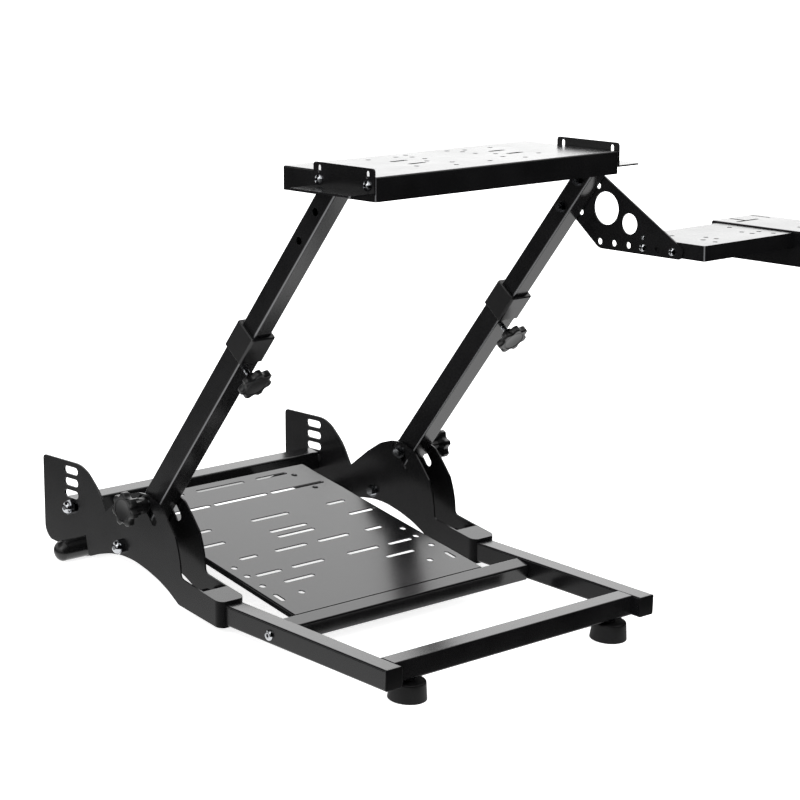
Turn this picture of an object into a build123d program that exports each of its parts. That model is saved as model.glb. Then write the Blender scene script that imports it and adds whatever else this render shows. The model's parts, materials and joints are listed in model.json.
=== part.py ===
from build123d import *
import os
from math import atan2, cos, degrees, hypot, radians, sin, tan

# Racing wheel stand, in millimetres. X runs to the driver's right, Y away from the driver, Z up.
# Shapes are drawn with the wheel plate level, then the whole stand is leaned onto its feet.

# stance on the floor
lean_on_floor = 5.83
floor_lift = 34.89

# floor frame: two rails joined by a front crossbar
tube_size = 32.0
tube_wall = 1.6
tube_top = 30.0
tube_middle = tube_top - tube_size / 2
tube_corner = 3.0
rail_x = 264.0
rail_rise = 2.6
rail_length = 440.0
cap_thickness = 3.0
cap_plug = 12.0
crossbar_setback = 15.1
touch_gap = 0.1

# rubber feet under the crossbar
foot_x = 211.0
foot_y = 26.2
foot_height = 27.5
foot_bottom_radius = 29.0
foot_top_radius = 26.0
foot_stud_radius = 4.0
foot_stud_length = 14.0
foot_nut_radius = 9.0
foot_nut_height = 3.0

# bent sheet brackets that carry the arms
bracket_x = 265.5
bracket_width = 50.0
bracket_sheet = 2.5
nose_y = 357.0
nose_radius = 12.0
nose_flange_end = 400.0
pivot_y = 604.0
pivot_z = 90.0
pivot_radius = 4.0
pin_gap = 0.05
lock_reach = 104.0
lock_angle = 50.0
lock_slot_width = 14.5
lock_slot_low = 33.6
lock_slot_high = 57.0

# tilted arms, the upper tube slides in the lower one
arm_x = 265.3
arm_slope = 51.25
arm_ref_y = 432.85
arm_ref_z = 300.0
lower_size = 38.0
lower_start = -284.0
lower_foot_z = 80.0
lower_end = 219.0
collar_size = 44.0
collar_start = 175.0
collar_end = 225.0
slide_gap = 0.4
lower_wall = (lower_size - tube_size) / 2 - slide_gap
upper_start = 0.0
height_knob_at = 157.0
arm_bolts_at = (407.7, 464.3)
arm_hole_radius = 6.1

# star knobs
knob_radius = 27.0
knob_lobes = 7
knob_star_thickness = 15.0
knob_hub_radius = 11.3
tilt_hub_length = 28.7
height_screw_shown = 13.0
height_hub_length = 8.0
bolt_radius = 4.0
bolt_gap = 0.3
washer_radius = 11.0
washer_thickness = 2.0

# domed nuts at the pivots and the ears
dome_nut_flats = 21.0
dome_nut_base = 7.0
dome_nut_height = 13.5

# folded wheel plate and the angles at its ends
plate_half_width = 245.2
plate_front_y = 57.0
plate_back_y = 254.5
plate_top_z = 714.8
plate_rim_z = 680.0
plate_sheet = 2.2
plate_bend = 2.5
pattern_x = 12.0
hole_radius = 4.0
angle_front_y = 56.8
angle_back_y = 184.4
angle_top_z = 726.8
angle_seat_z = 690.3
angle_sheet = 2.5
angle_overhang = 11.5

# pedal plate, hinged at its front bar
deck_y = 265.5
deck_z = 40.0
deck_slope = 11.7
deck_x = -26.0
deck_half_width = 196.0
deck_length = 448.0
deck_sheet = 2.0
deck_rim = 9.0
deck_bar_depth = 30.0
deck_bar_height = 27.4
deck_bar_half = rail_x - tube_size / 2 - 1.4
slot_width = 8.5
deck_hole_radius = 5.5
deck_tail_half = 150.0
rear_bar_y = 780.0
rear_bar_z = 114.0
rear_bolt_z = rear_bar_z + 1.5
rear_bar_lean = 5.83

# ear plates at the back and the round rear tube
ear_x = 258.5
ear_sheet = 3.5
rear_bar_half = ear_x - ear_sheet / 2 - 0.55
ear_back_y = 855.0
ear_top_z = 191.0
ear_top_corner = 6.0
ear_slot_y = 777.5
ear_slot_z = 117.5
ear_slot_pitch = 19.6
ear_slot_length = 37.0
ear_slot_width = 12.5
ear_boss_y = 672.0
ear_boss_z = 82.0
ear_boss_radius = 11.0
rear_tube_y = 743.0
rear_tube_z = 57.4
rear_tube_radius = 16.5
rear_tube_half = ear_x + 46.0
rear_cap_length = 17.0

# shifter bracket, tray and channel on the right arm
shifter_x = arm_x + tube_size / 2
shifter_sheet = 2.5
shifter_row_y = 125.7
shifter_row_z = 567.0
shifter_row_pitch = 29.56
shifter_slot_off = -7.0
shifter_slot_length = 26.0
tray_front_y = -83.0
tray_back_y = 66.0
tray_top_z = 581.9
tray_bottom_z = 558.2
tray_pattern_x = 397.0
channel_left_x = 491.0
channel_right_x = 600.0
channel_front_y = -100.0
channel_back_y = 80.0
channel_top_z = 584.5
channel_bottom_z = 530.0


def leaned_y(y, z):
    """How far back a point of the side plane is once the stand leans."""
    return y * cos(radians(lean_on_floor)) + z * sin(radians(lean_on_floor))


# the origin is under the middle of everything, tilt knobs and shifter channel included
knob_foot_x = bracket_x + bracket_width / 2 + washer_thickness + bolt_gap
knob_outer_x = knob_foot_x + tilt_hub_length - 1 + knob_star_thickness
centre_shift_x = (knob_outer_x - channel_right_x) / 2
rearmost = leaned_y(ear_back_y - ear_top_corner, ear_top_z - ear_top_corner) + ear_top_corner
centre_shift_y = -(rearmost + leaned_y(channel_front_y, channel_bottom_z)) / 2


def box(x0, x1, y0, y1, z0, z1):
    size = Box(x1 - x0, y1 - y0, z1 - z0)
    return Pos((x0 + x1) / 2, (y0 + y1) / 2, (z0 + z1) / 2) * size


def square_tube(size, wall, length):
    outer = RectangleRounded(size, size, tube_corner)
    inner = RectangleRounded(size - 2 * wall, size - 2 * wall, max(tube_corner - wall, 0.5))
    return extrude(outer - inner, length)


def rod_x(radius, x0, x1, y, z):
    return Pos((x0 + x1) / 2, y, z) * Rot(0, 90, 0) * Cylinder(radius, x1 - x0)


def side_face(points, x):
    """Face in the side plane. Every point is (y, z, corner radius)."""
    edges = []
    count = len(points)
    starts = []
    ends = []
    for i in range(count):
        y, z, r = points[i]
        py, pz, _ = points[i - 1]
        ny, nz, _ = points[(i + 1) % count]
        back = Vector(0, py - y, pz - z).normalized()
        ahead = Vector(0, ny - y, nz - z).normalized()
        corner = Vector(x, y, z)
        if r <= 0:
            starts.append(corner)
            ends.append(corner)
            continue
        half = radians(back.get_angle(ahead)) / 2
        run = r / tan(half)
        first = corner + back * run
        last = corner + ahead * run
        bisector = (back + ahead).normalized()
        middle = corner + bisector * (r / sin(half) - r)
        edges.append(ThreePointArc(first, middle, last))
        starts.append(first)
        ends.append(last)
    for i in range(count):
        a = ends[i]
        b = starts[(i + 1) % count]
        if (b - a).length > 1e-4:
            edges.append(Line(a, b))
    return make_face(edges)


def side_plate(points, x0, x1):
    return extrude(side_face(points, x0), amount=x1 - x0, dir=(1, 0, 0))


def side_slot(length, width, x0, x1, y, z, turn=0.0):
    """Slot through a side plate, its long axis along Y before the turn."""
    body = extrude(SlotOverall(length, width), x1 - x0 + 2)
    return Pos(x0 - 1, y, z) * Rot(turn, 0, 0) * Rot(0, 90, 0) * Rot(0, 0, 90) * body


def mirrored(shape):
    return mirror(shape, about=Plane.YZ)


def arm_point(along, off=0.0):
    """Point in the side plane, along the arm and off its axis towards the back."""
    a = radians(arm_slope)
    y = arm_ref_y - along * cos(a) + off * sin(a)
    z = arm_ref_z + along * sin(a) + off * cos(a)
    return y, z


def deck_point(along, up=0.0):
    """Point in the side plane, along the pedal plate from its front edge."""
    a = radians(deck_slope)
    return deck_y + along * cos(a) - up * sin(a), deck_z + along * sin(a) + up * cos(a)


def settle(shape):
    """Leans the stand onto its feet and centres it on the origin."""
    return Pos(centre_shift_x, centre_shift_y, floor_lift) * Rot(-lean_on_floor, 0, 0) * shape


def save(name, shape):
    export_step(shape, "parts/" + name + ".step")


def on_rail(along, up):
    a = radians(rail_rise)
    return along * cos(a) - up * sin(a), along * sin(a) + up * cos(a)


def deck_bar_middle():
    return deck_point(-deck_bar_depth / 2, -deck_bar_height / 2)


# floor frame

def make_rail():
    y, z = on_rail(cap_thickness, tube_middle)
    tube = square_tube(tube_size, tube_wall, rail_length - cap_thickness)
    tube = Pos(rail_x, y, z) * Rot(rail_rise - 90, 0, 0) * tube
    return tube - rod_x(pivot_radius + pin_gap, rail_x - tube_size, rail_x + tube_size, *deck_bar_middle())


def make_rail_cap():
    face = RectangleRounded(tube_size, tube_size, tube_corner)
    inner = tube_size - 2 * tube_wall - 2 * touch_gap
    cap = extrude(face, cap_thickness) + extrude(RectangleRounded(inner, inner, 2), cap_thickness + cap_plug)
    y, z = on_rail(0, tube_middle)
    return Pos(rail_x, y, z) * Rot(rail_rise - 90, 0, 0) * cap


def make_crossbar():
    half = rail_x - tube_size / 2
    y, z = on_rail(crossbar_setback + tube_size / 2, tube_middle)
    tube = Pos(-half, y, z) * Rot(rail_rise, 0, 0) * Rot(0, 90, 0) * square_tube(tube_size, tube_wall, 2 * half)
    return tube


def make_foot():
    """Built upright in floor coordinates, so its sole lies flat."""
    pad = Pos(0, 0, foot_height / 2) * Cone(foot_bottom_radius, foot_top_radius, foot_height)
    pad = fillet(pad.edges().filter_by(GeomType.CIRCLE).sort_by(Axis.Z)[-1], 2.5)
    nut = Pos(0, 0, foot_height) * extrude(RegularPolygon(foot_nut_radius, 6), foot_nut_height)
    stud = Pos(0, 0, foot_height) * Cylinder(foot_stud_radius, 2 * foot_stud_length)
    return pad + nut + stud


def place_foot(side):
    return Pos(side * foot_x + centre_shift_x, foot_y + centre_shift_y, 0) * make_foot()


def drilled_crossbar():
    """The crossbar on the floor, with an upright hole over each foot."""
    bar = settle(make_crossbar())
    for side in (-1, 1):
        drill = Cylinder(foot_stud_radius + pin_gap, tube_size)
        bar -= Pos(side * foot_x + centre_shift_x, foot_y + centre_shift_y, foot_height + tube_size / 2) * drill
    return bar


bracket_outline = [
    (nose_y, 10.6, 0), (nose_y, 51.8, 0), (412.7, 62.5, 0), (451.5, 70.4, 8),
    (453.0, 92.0, 0), (456.7, 110.0, 20), (464.0, 132.0, 20), (484.0, 156.8, 20),
    (500.0, 174.7, 18), (530.0, 187.0, 40), (556.0, 186.3, 60), (585.0, 177.5, 60), (618.0, 157.3, 60),
    (699.2, 97.5, 10), (690.9, 56.0, 5), (662.0, 65.8, 120), (632.0, 73.4, 120), (600.0, 76.6, 130),
    (568.0, 73.9, 130), (536.0, 65.7, 130), (506.0, 55.0, 120), (482.0, 42.6, 110), (458.3, 26.9, 8),
]


def bracket_hollow():
    """Room inside the bent sheet, open behind the short top flange."""
    front = nose_y + bracket_sheet
    flange = nose_flange_end
    low, high, far = -60, 320, 900
    points = [(front, low, 0), (front, 49.4, 1), (flange, 57.1, 0), (flange, high, 0), (far, high, 0), (far, low, 0)]
    half = bracket_width / 2 - bracket_sheet
    hollow = side_plate(points, bracket_x - half, bracket_x + half)
    corners = [e for e in hollow.edges().filter_by(Axis.Z) if abs(e.center().Y - front) < 0.5]
    return fillet(corners, nose_radius - bracket_sheet)


def make_bracket():
    x0 = bracket_x - bracket_width / 2
    x1 = bracket_x + bracket_width / 2
    body = side_plate(bracket_outline, x0, x1)
    nose = [e for e in body.edges().filter_by(Axis.Z) if abs(e.center().Y - nose_y) < 0.5]
    body = fillet(nose, nose_radius) - bracket_hollow()
    y, z = on_rail(nose_y - 20, tube_middle)
    opening = extrude(RectangleRounded(tube_size + 2 * touch_gap, tube_size + 2 * touch_gap, tube_corner), 60)
    body -= Pos(rail_x, y, z) * Rot(rail_rise - 90, 0, 0) * opening
    body -= rod_x(pivot_radius + pin_gap, x0 - 1, x1 + 1, pivot_y, pivot_z)
    arc = CenterArc((pivot_y, pivot_z), lock_reach, 180 - lock_slot_high, lock_slot_high - lock_slot_low)
    slot = extrude(SlotArc(arc, lock_slot_width), bracket_width + 2)
    side = Plane(origin=(x0 - 1, 0, 0), x_dir=(0, 1, 0), z_dir=(1, 0, 0))
    return body - side * slot


ear_outline = [
    (660.0, 70.0, 6), (658.0, 96.0, 8), (676.0, 110.0, 10), (700.0, 152.5, 60), (744.0, ear_top_z, 22),
    (ear_back_y, ear_top_z, ear_top_corner), (ear_back_y, 48.5, 20), (716.0, 48.5, 8), (704.0, 66.0, 8),
]


def make_ear():
    x0 = ear_x - ear_sheet / 2
    x1 = ear_x + ear_sheet / 2
    ear = side_plate(ear_outline, x0, x1)
    for i in range(4):
        ear -= side_slot(ear_slot_length, ear_slot_width, x0, x1, ear_slot_y, ear_slot_z + i * ear_slot_pitch)
    inside = bracket_width / 2 - bracket_sheet
    ear += rod_x(ear_boss_radius, bracket_x - inside, bracket_x + inside, ear_boss_y, ear_boss_z)
    return ear - rod_x(rear_tube_radius + touch_gap, x0 - 1, x1 + 1, rear_tube_y, rear_tube_z)


def make_rear_tube():
    tube = rod_x(rear_tube_radius, -rear_tube_half, rear_tube_half, rear_tube_y, rear_tube_z)
    return tube - rod_x(rear_tube_radius - tube_wall, -rear_tube_half - 1, rear_tube_half + 1, rear_tube_y, rear_tube_z)


def make_rear_cap():
    x0 = rear_tube_half
    cap = rod_x(rear_tube_radius, x0, x0 + rear_cap_length, rear_tube_y, rear_tube_z)
    rim = cap.edges().filter_by(GeomType.CIRCLE).sort_by(Axis.X)[-1]
    cap = fillet(rim, rear_tube_radius - 0.3)
    plug = rod_x(rear_tube_radius - tube_wall - touch_gap, x0 - cap_plug, x0 + 0.2, rear_tube_y, rear_tube_z)
    return cap + plug


def hex_head(x, outward, y, z, across_flats, height):
    head = extrude(RegularPolygon(across_flats / 2, 6, major_radius=False), height)
    return Pos(x, y, z) * Rot(0, 90 * outward, 0) * head


def dome_nut(x, outward, y, z):
    """Hexagon base with a round cap, on the outside of a sheet."""
    base = extrude(RegularPolygon(dome_nut_flats / 2, 6, major_radius=False), dome_nut_base)
    cap = Pos(0, 0, dome_nut_height / 2) * Cylinder(dome_nut_flats / 2 - 0.6, dome_nut_height)
    cap = fillet(cap.edges().filter_by(GeomType.CIRCLE).sort_by(Axis.Z)[-1], dome_nut_height - dome_nut_base)
    return Pos(x, y, z) * Rot(0, 90 * outward, 0) * (base + cap)


def make_pivot_bolt():
    x0 = bracket_x - bracket_width / 2
    x1 = bracket_x + bracket_width / 2
    bolt = rod_x(pivot_radius, x0 - washer_thickness, x1, pivot_y, pivot_z)
    bolt += dome_nut(x1, 1, pivot_y, pivot_z)
    bolt += rod_x(washer_radius, x0 - washer_thickness, x0, pivot_y, pivot_z)
    bolt += hex_head(x0 - washer_thickness, -1, pivot_y, pivot_z, 13, 6.5)
    inside = bracket_width / 2 - bracket_sheet
    arm_half = lower_size / 2 + touch_gap
    bolt += rod_x(8, arm_x + arm_half, bracket_x + inside, pivot_y, pivot_z)
    bolt += rod_x(8, bracket_x - inside, arm_x - arm_half, pivot_y, pivot_z)
    return bolt


def make_deck_bolt():
    """Short bolt through the rail into the front bar of the pedal plate, with a low round head."""
    y, z = deck_bar_middle()
    outer = rail_x + tube_size / 2
    bolt = rod_x(pivot_radius, deck_bar_half - 14, outer, y, z)
    head = rod_x(8.3, outer, outer + 4.2, y, z)
    head = fillet(head.edges().filter_by(GeomType.CIRCLE).sort_by(Axis.X)[-1], 3.4)
    socket = Pos(outer + 2.4, y, z) * Rot(0, 90, 0) * extrude(RegularPolygon(3.0, 6), 3)
    return bolt + (head - socket)


def make_rear_bolt():
    x0 = ear_x - ear_sheet / 2
    x1 = ear_x + ear_sheet / 2
    bolt = rod_x(bolt_radius, x0 + 0.1, x1, rear_bar_y, rear_bolt_z)
    return bolt + dome_nut(x1, 1, rear_bar_y, rear_bolt_z)


# pedal plate

def make_deck_bar():
    y, z = deck_bar_middle()
    outer = RectangleRounded(deck_bar_height, deck_bar_depth, tube_corner)
    inner_height = deck_bar_height - 2 * tube_wall
    inner_depth = deck_bar_depth - 2 * tube_wall
    tube = extrude(outer - RectangleRounded(inner_height, inner_depth, tube_corner - tube_wall), 2 * deck_bar_half)
    bar = Pos(-deck_bar_half, y, z) * Rot(deck_slope, 0, 0) * Rot(0, 90, 0) * tube
    plug_length = 16
    for side in (-1, 1):
        middle = side * (deck_bar_half - plug_length / 2)
        bar += Pos(middle, y, z) * Rot(deck_slope, 0, 0) * Box(plug_length, inner_depth, inner_height)
    return bar - rod_x(pivot_radius + pin_gap, -rail_x, rail_x, y, z)


deck_slots = [
    (429.0, -50.5, 50.5), (374.0, -56.0, 56.0), (297.7, -39.5, 39.5), (251.0, -39.0, 39.0), (231.0, -38.5, 38.5),
]
deck_slot_pairs = [
    (429.0, 76.0, 143.0), (374.0, 63.5, 179.0), (297.7, 121.0, 161.0), (251.0, 130.0, 189.0),
    (190.5, 11.5, 77.5), (190.5, 113.0, 149.0), (132.5, 24.5, 91.0), (132.5, 111.5, 163.0), (96.5, 75.0, 136.0),
]
deck_hole_pairs = [
    (416.0, 149.5), (361.0, 149.5), (169.0, 176.5), (137.0, 176.5), (99.5, 176.5), (57.0, 134.0),
]


def deck_cut(along, left, right):
    slot = extrude(SlotOverall(right - left, slot_width), 20)
    return Pos((left + right) / 2, along, -10) * slot


def make_deck_plate():
    """Drawn flat with its front edge on Y = 0 and its top on Z = 0."""
    gap = touch_gap
    tray = box(-deck_half_width, deck_half_width, gap, deck_length, -deck_rim, 0)
    tray = fillet(tray.edges().filter_by(Axis.Y).group_by(Axis.Z)[-1], 3)
    tray -= box(-deck_half_width + deck_sheet, deck_half_width - deck_sheet, gap + deck_sheet,
                deck_length - deck_sheet, -deck_rim - 1, -deck_sheet)
    cuts = []
    for along, left, right in deck_slots:
        cuts.append(deck_cut(along, left, right))
    for along, left, right in deck_slot_pairs:
        cuts.append(deck_cut(along, left, right))
        cuts.append(deck_cut(along, -right, -left))
    for along, off in deck_hole_pairs:
        for side in (-1, 1):
            cuts.append(Pos(side * off, along, 0) * Cylinder(deck_hole_radius, 20))
    for side in (-1, 1):
        slot = extrude(SlotOverall(25, slot_width), 20)
        cuts.append(Pos(side * 178.5, 57, -10) * Rot(0, 0, 90) * slot)
    tray -= cuts
    placed = Pos(deck_x, deck_y, deck_z) * Rot(deck_slope, 0, 0) * tray
    return placed + make_deck_tail()


def make_deck_tail():
    """Strap bent down from the back rim and under the rear bar that carries it."""
    lean = radians(rear_bar_lean)
    low = -tube_size / 2 - touch_gap
    by = rear_bar_y - low * sin(lean)
    bz = rear_bar_z + low * cos(lean)
    y1, z1 = deck_point(deck_length - deck_sheet / 2, -deck_rim / 2)
    front = (by - 16 * cos(lean), bz - 16 * sin(lean))
    back = (by + 15 * cos(lean), bz + 15 * sin(lean))
    t = deck_sheet
    points = [(y1 - t / 2, z1, 0), (front[0], front[1] - t, 6), (back[0], back[1] - t, 0),
              (back[0], back[1], 0), (front[0], front[1], 3), (y1 + t / 2, z1, 0)]
    return side_plate(points, deck_x - deck_tail_half, deck_x + deck_tail_half)


def make_rear_bar():
    tube = square_tube(tube_size, tube_wall, 2 * rear_bar_half)
    return Pos(-rear_bar_half, rear_bar_y, rear_bar_z) * Rot(rear_bar_lean, 0, 0) * Rot(0, 90, 0) * tube


# arms

def on_arm(shape, along, x=arm_x):
    y, z = arm_point(along)
    return Pos(x, y, z) * Rot(90 - arm_slope, 0, 0) * shape


def make_lower_tube():
    tube = on_arm(square_tube(lower_size, lower_wall, lower_end - lower_start), lower_start)
    tube -= rod_x(pivot_radius + pin_gap, arm_x - lower_size, arm_x + lower_size, pivot_y, pivot_z)
    tube -= rod_x(bolt_radius + touch_gap, arm_x - lower_size, arm_x + lower_size, *lock_point())
    tube -= box(arm_x - lower_size, arm_x + lower_size, pivot_y - 80, pivot_y + 80, 0, lower_foot_z)
    drill = Pos(0, -lower_size / 2, 0) * Rot(90, 0, 0) * Cylinder(bolt_radius + pin_gap, 4 * lower_wall)
    return tube - on_arm(drill, height_knob_at)


def lock_point():
    a = radians(lock_angle)
    return pivot_y - lock_reach * cos(a), pivot_z + lock_reach * sin(a)


def make_collar():
    length = collar_end - collar_start
    outer = extrude(RectangleRounded(collar_size, collar_size, 4), length)
    outer = chamfer(outer.faces().sort_by(Axis.Z)[-1].edges(), 1.5)
    seat = lower_size + 2 * touch_gap
    neck = lower_size - 2 * lower_wall
    body = outer - extrude(RectangleRounded(seat, seat, tube_corner), lower_end - collar_start)
    body -= extrude(RectangleRounded(neck, neck, 1), length)
    return on_arm(body, collar_start)


def star(radius, thickness):
    body = Cylinder(radius, thickness)
    for i in range(knob_lobes):
        a = radians(360 / knob_lobes * i)
        cutter = Cylinder(radius * 0.24, thickness + 2)
        body -= Pos(1.12 * radius * cos(a), 1.12 * radius * sin(a), 0) * cutter
    top = body.faces().sort_by(Axis.Z)[-1]
    bottom = body.faces().sort_by(Axis.Z)[0]
    body = chamfer(top.edges() + bottom.edges(), 1.6)
    return Pos(0, 0, thickness / 2) * body


def make_tilt_knob():
    """Drawn on Z from the outer face of the bracket, screw shank included."""
    knob = Pos(0, 0, tilt_hub_length / 2) * Cone(knob_hub_radius + 2, knob_hub_radius, tilt_hub_length)
    knob += Pos(0, 0, tilt_hub_length - 1) * star(knob_radius, knob_star_thickness)
    y, z = lock_point()
    return Pos(knob_foot_x, y, z) * Rot(0, 90, 0) * knob


def make_lock_bolt():
    y, z = lock_point()
    x0 = bracket_x - bracket_width / 2
    x1 = bracket_x + bracket_width / 2
    thick = washer_thickness
    bolt = rod_x(bolt_radius, x0 - thick, x1 + thick, y, z)
    bolt += rod_x(washer_radius, x1 + bolt_gap, x1 + thick, y, z)
    bolt += rod_x(washer_radius, x0 - thick, x0 - bolt_gap, y, z)
    return bolt + hex_head(x0 - thick, -1, y, z, 13, 6.5)


def make_height_knob():
    """Drawn on Z away from the tube, its screw reaching in to the upper tube."""
    reach = lower_size / 2 + height_screw_shown
    tip = tube_size / 2 + bolt_gap
    screw = Pos(0, 0, (tip + reach + 2) / 2) * Cylinder(bolt_radius, reach + 2 - tip)
    hub = Pos(0, 0, reach + height_hub_length / 2) * Cone(knob_hub_radius - 3, knob_radius * 0.7, height_hub_length)
    knob = screw + hub + Pos(0, 0, reach + height_hub_length - 1) * star(knob_radius, knob_star_thickness)
    return on_arm(Rot(90, 0, 0) * knob, height_knob_at)


# upper frame

def make_upper_tube():
    long = (angle_seat_z - arm_ref_z) / sin(radians(arm_slope)) + tube_size
    tube = on_arm(square_tube(tube_size, tube_wall, long - upper_start), upper_start)
    tube -= box(arm_x - tube_size, arm_x + tube_size, 0, arm_ref_y, angle_seat_z, angle_seat_z + 3 * tube_size)
    for along in arm_bolts_at:
        tube -= rod_x(arm_hole_radius, arm_x - tube_size, arm_x + tube_size, *arm_point(along))
    return tube


plate_hole_pairs = [
    (124.0, 220.5), (124.0, 117.5), (70.0, 220.0), (70.0, 154.0), (70.0, 92.0),
    (51.5, 205.0), (51.5, 178.0), (51.5, 120.0), (42.0, 229.0),
]
plate_slot_pairs = [(87.0, 112.0, 181.5), (87.0, 112.0, 143.0)]


def make_wheel_plate():
    body = box(-plate_half_width, plate_half_width, plate_front_y, plate_back_y, plate_rim_z, plate_top_z)
    body = fillet(body.edges().filter_by(Axis.Z), plate_bend)
    body = fillet(body.faces().sort_by(Axis.Z)[-1].edges(), plate_bend - 0.2)
    t = plate_sheet
    body -= box(-plate_half_width + t, plate_half_width - t, plate_front_y + t, plate_back_y - t,
                plate_rim_z - 1, plate_top_z - t)
    top = plate_top_z - 1
    cuts = []
    for off, y in plate_hole_pairs:
        for side in (-1, 1):
            cuts.append(Pos(pattern_x + side * off, y, top) * Cylinder(hole_radius, 10))
    cuts.append(Pos(pattern_x, 94.8, top) * Cylinder(hole_radius, 10))
    for near, far, y in plate_slot_pairs:
        for side in (-1, 1):
            slot = extrude(SlotOverall(far - near + 8, 8), 10)
            cuts.append(Pos(pattern_x + side * (near + far) / 2, y, top - 5) * slot)
    return body - cuts


angle_holes = [(70.5, 717.5), (172.0, 717.5)]
angle_screws = [(70.5, 702.1), (172.0, 702.1)]


def make_angle():
    x0 = plate_half_width
    leg = box(x0, x0 + angle_sheet, angle_front_y, angle_back_y, angle_seat_z, angle_top_z)
    leg = fillet(leg.edges().filter_by(Axis.X).group_by(Axis.Z)[-1], 5)
    seat = box(x0, arm_x + tube_size / 2 + angle_overhang, angle_front_y, angle_back_y, angle_seat_z, angle_seat_z + angle_sheet)
    seat = fillet(seat.edges().filter_by(Axis.Z).group_by(Axis.X)[-1], 4)
    body = leg + seat
    for y, z in angle_holes:
        body -= side_slot(11.5, 7.5, x0, x0 + angle_sheet, y, z, 90)
    for y, z in angle_screws:
        body -= rod_x(3.1, x0 - 1, x0 + angle_sheet + 1, y, z)
    return body


def shifter_outline():
    """Plate on the outer face of the arm, its tip towards the driver."""
    low_y, low_z = arm_point(391.0, 14.0)
    top_y, top_z = arm_point(480.0, 14.0)
    return [(top_y, top_z, 4), (low_y, low_z, 4), (127.4, 556.2, 20), (-39.5, 556.2, 8), (-44.0, 572.4, 5)]


shifter_rounds = [(113.4, 619.4, 25.5), (65.3, 600.0, 16.0), (36.5, 582.0, 3.0)]


def make_shifter_bracket():
    x0 = shifter_x
    x1 = shifter_x + shifter_sheet
    plate = side_plate(shifter_outline(), x0, x1)
    for y, z, r in shifter_rounds:
        plate -= rod_x(r, x0 - 1, x1 + 1, y, z)
    for i in range(6):
        plate -= rod_x(5.0, x0 - 1, x1 + 1, shifter_row_y - shifter_row_pitch * i, shifter_row_z)
    for along in arm_bolts_at:
        slot_y, slot_z = arm_point(along, shifter_slot_off)
        plate -= side_slot(shifter_slot_length, 2 * bolt_radius + 1.5, x0, x1, slot_y, slot_z, 90 - arm_slope)
    return plate


tray_hole_pairs = [(67.5, 21.2), (42.0, -24.3), (65.5, -39.2), (42.0, -45.0), (68.0, -65.4)]


def make_shifter_tray():
    x0 = shifter_x + shifter_sheet
    t = shifter_sheet
    tray = box(x0, channel_left_x, tray_front_y, tray_back_y, tray_bottom_z, tray_top_z)
    left = [e for e in tray.edges().filter_by(Axis.Z) if e.center().X < x0 + 1]
    tray = fillet(left, 3)
    tray -= box(x0 + t, channel_left_x + 1, tray_front_y + t, tray_back_y - t, tray_bottom_z - 1, tray_top_z - t)
    for off, y in tray_hole_pairs:
        for side in (-1, 1):
            tray -= Pos(tray_pattern_x + side * off, y, tray_top_z) * Cylinder(hole_radius, 10)
    for i in (3, 5):
        tray -= rod_x(hole_radius, x0 - 1, x0 + 2 * t, shifter_row_y - shifter_row_pitch * i, shifter_row_z)
    return tray


def make_shifter_channel():
    t = shifter_sheet
    body = box(channel_left_x, channel_right_x, channel_front_y, channel_back_y, channel_bottom_z, channel_top_z)
    body = fillet(body.edges().filter_by(Axis.Y).group_by(Axis.Z)[-1], 3.5)
    body -= box(channel_left_x + t, channel_right_x - t, channel_front_y - 1, channel_back_y + 1,
                channel_bottom_z - 1, channel_top_z - t)
    top = channel_top_z - 6
    slot_x = channel_left_x + 41
    cross = extrude(SlotOverall(52, 6), 12)
    stem = extrude(Rot(0, 0, 90) * SlotOverall(34, 6), 12)
    narrow = extrude(Rot(0, 0, 90) * SlotOverall(40, 4), 12)
    body -= Pos(slot_x, 41, top) * cross
    body -= Pos(slot_x - 4, 57, top) * stem
    body -= Pos(channel_right_x - 18, 56.5, top) * narrow
    return body - Pos(slot_x, -63, top) * Cylinder(hole_radius, 20)


def make_arm_bolt(along):
    y, z = arm_point(along)
    inner = arm_x - tube_size / 2
    outer = arm_x + tube_size / 2 + shifter_sheet
    bolt = rod_x(bolt_radius, inner - 9, outer, y, z)
    bolt += rod_x(arm_hole_radius + 2.5, inner - 1.5, inner, y, z)
    bolt += hex_head(inner - 1.5, -1, y, z, 13, 5.5)
    return bolt + rod_x(arm_hole_radius + 2.5, outer, outer + 5, y, z)


def make_all():
    os.makedirs("parts", exist_ok=True)
    sided = {
        "rail": make_rail(), "rail_cap": make_rail_cap(), "bracket": make_bracket(), "ear": make_ear(),
        "rear_cap": make_rear_cap(), "pivot_bolt": make_pivot_bolt(), "deck_bolt": make_deck_bolt(),
        "rear_bolt": make_rear_bolt(), "lower_tube": make_lower_tube(), "collar": make_collar(),
        "lock_bolt": make_lock_bolt(), "tilt_knob": make_tilt_knob(), "height_knob": make_height_knob(),
        "upper_tube": make_upper_tube(), "plate_angle": make_angle(),
    }
    for name, shape in sided.items():
        save(name + "_right", settle(shape))
        save(name + "_left", settle(mirrored(shape)))
    single = {
        "rear_tube": make_rear_tube(), "deck_bar": make_deck_bar(),
        "pedal_plate": make_deck_plate(), "rear_bar": make_rear_bar(), "wheel_plate": make_wheel_plate(),
        "shifter_bracket": make_shifter_bracket(), "shifter_tray": make_shifter_tray(),
        "shifter_channel": make_shifter_channel(),
    }
    for name, shape in single.items():
        save(name, settle(shape))
    save("front_crossbar", drilled_crossbar())
    save("front_foot_right", place_foot(1))
    save("front_foot_left", place_foot(-1))
    save("shifter_bolt_lower", settle(make_arm_bolt(arm_bolts_at[0])))
    save("shifter_bolt_upper", settle(make_arm_bolt(arm_bolts_at[1])))


make_all()
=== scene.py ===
import json
import math

import bmesh
import bpy
from mathutils import Matrix, Vector


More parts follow.
